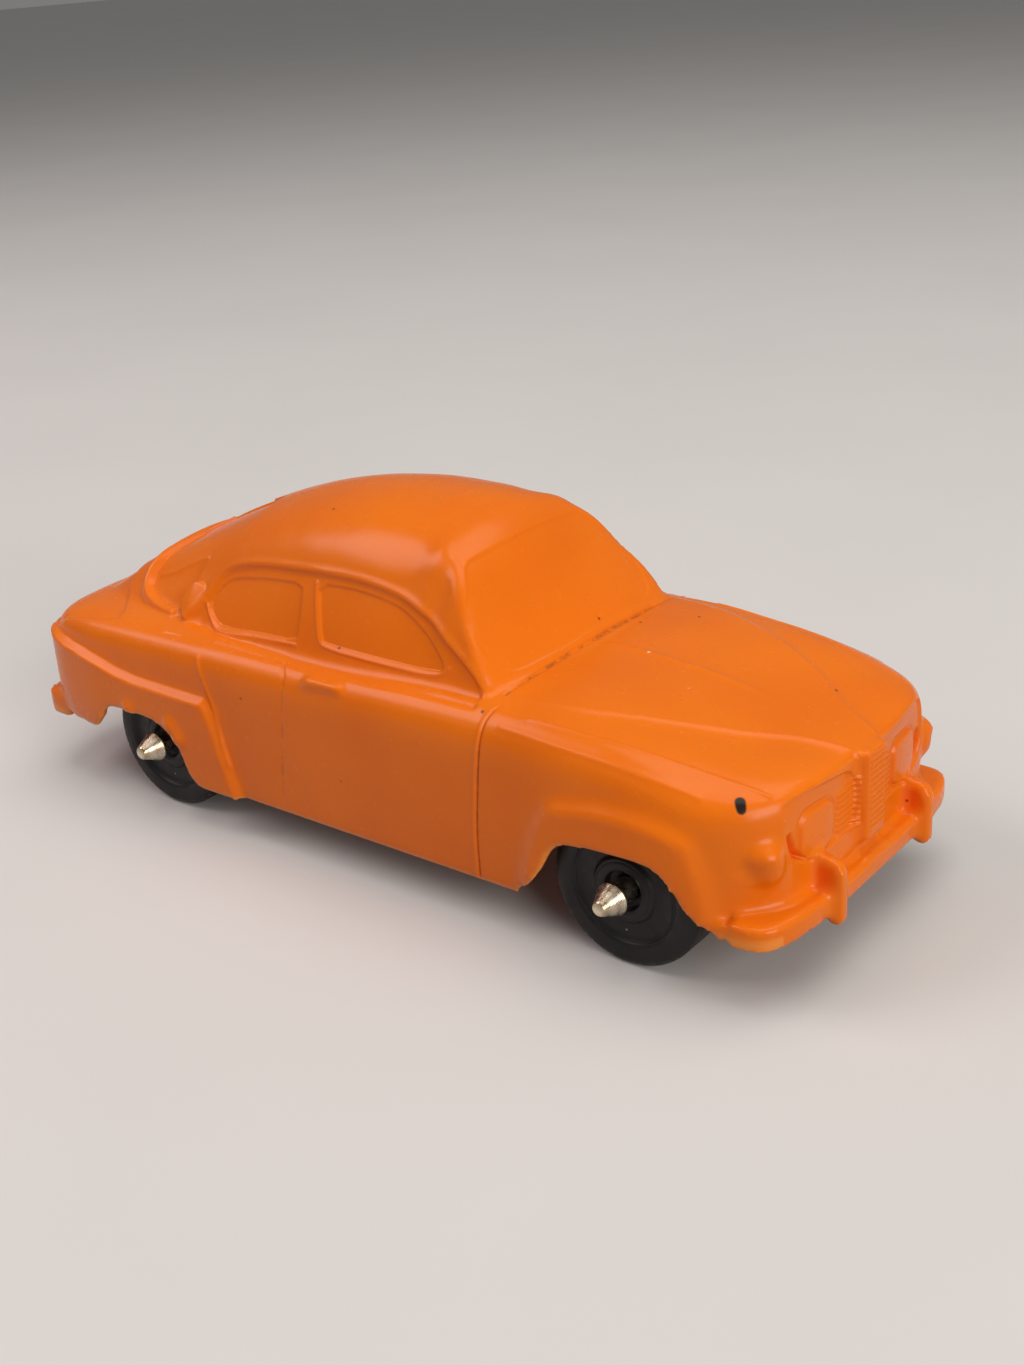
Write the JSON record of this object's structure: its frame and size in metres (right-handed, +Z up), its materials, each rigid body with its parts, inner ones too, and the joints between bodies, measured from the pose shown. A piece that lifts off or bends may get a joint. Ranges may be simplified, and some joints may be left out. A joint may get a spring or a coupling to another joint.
{
  "type": "toy car",
  "caption": "Toy saloon car: hollow soft-vinyl body, open underneath, with relief windows and grille, rolling on metal axles whose cone heads hold plain black wheels.",
  "frame": {"origin": "on the ground, under the middle of the car's overall length and on its centre line", "axes": "+X points forward, out of the grille, +Y to the car's left side and +Z up"},
  "size_m": [0.097, 0.0396, 0.0347],
  "materials": {
    "body_vinyl": "semi-gloss soft vinyl",
    "wheel_vinyl": "satin black vinyl",
    "axle_steel": "turned and nickel plated"
  },
  "bodies": {
    "body": {"body_shell": "body_vinyl"},
    "front_axle": {"axle_front": "axle_steel"},
    "rear_axle": {"axle_rear": "axle_steel"},
    "front_left_wheel": {"wheel_front_left": "wheel_vinyl"},
    "front_right_wheel": {"wheel_front_right": "wheel_vinyl"},
    "rear_left_wheel": {"wheel_rear_left": "wheel_vinyl"},
    "rear_right_wheel": {"wheel_rear_right": "wheel_vinyl"}
  },
  "joints": [
    {"name": "front_axle_spin", "type": "hinge", "parent": "body", "child": "front_axle", "pos_m": [0.0312, 0, 0.00747], "axis": [0, 1, 0], "continuous": true},
    {"name": "rear_axle_spin", "type": "hinge", "parent": "body", "child": "rear_axle", "pos_m": [-0.0269, 0, 0.00747], "axis": [0, 1, 0], "continuous": true},
    {"name": "front_left_wheel_spin", "type": "hinge", "parent": "front_axle", "child": "front_left_wheel", "pos_m": [0.0312, 0.0137, 0.00747], "axis": [0, 1, 0], "continuous": true},
    {"name": "front_right_wheel_spin", "type": "hinge", "parent": "front_axle", "child": "front_right_wheel", "pos_m": [0.0312, -0.0137, 0.00747], "axis": [0, 1, 0], "continuous": true},
    {"name": "rear_left_wheel_spin", "type": "hinge", "parent": "rear_axle", "child": "rear_left_wheel", "pos_m": [-0.0269, 0.0137, 0.00747], "axis": [0, 1, 0], "continuous": true},
    {"name": "rear_right_wheel_spin", "type": "hinge", "parent": "rear_axle", "child": "rear_right_wheel", "pos_m": [-0.0269, -0.0137, 0.00747], "axis": [0, 1, 0], "continuous": true}
  ]
}
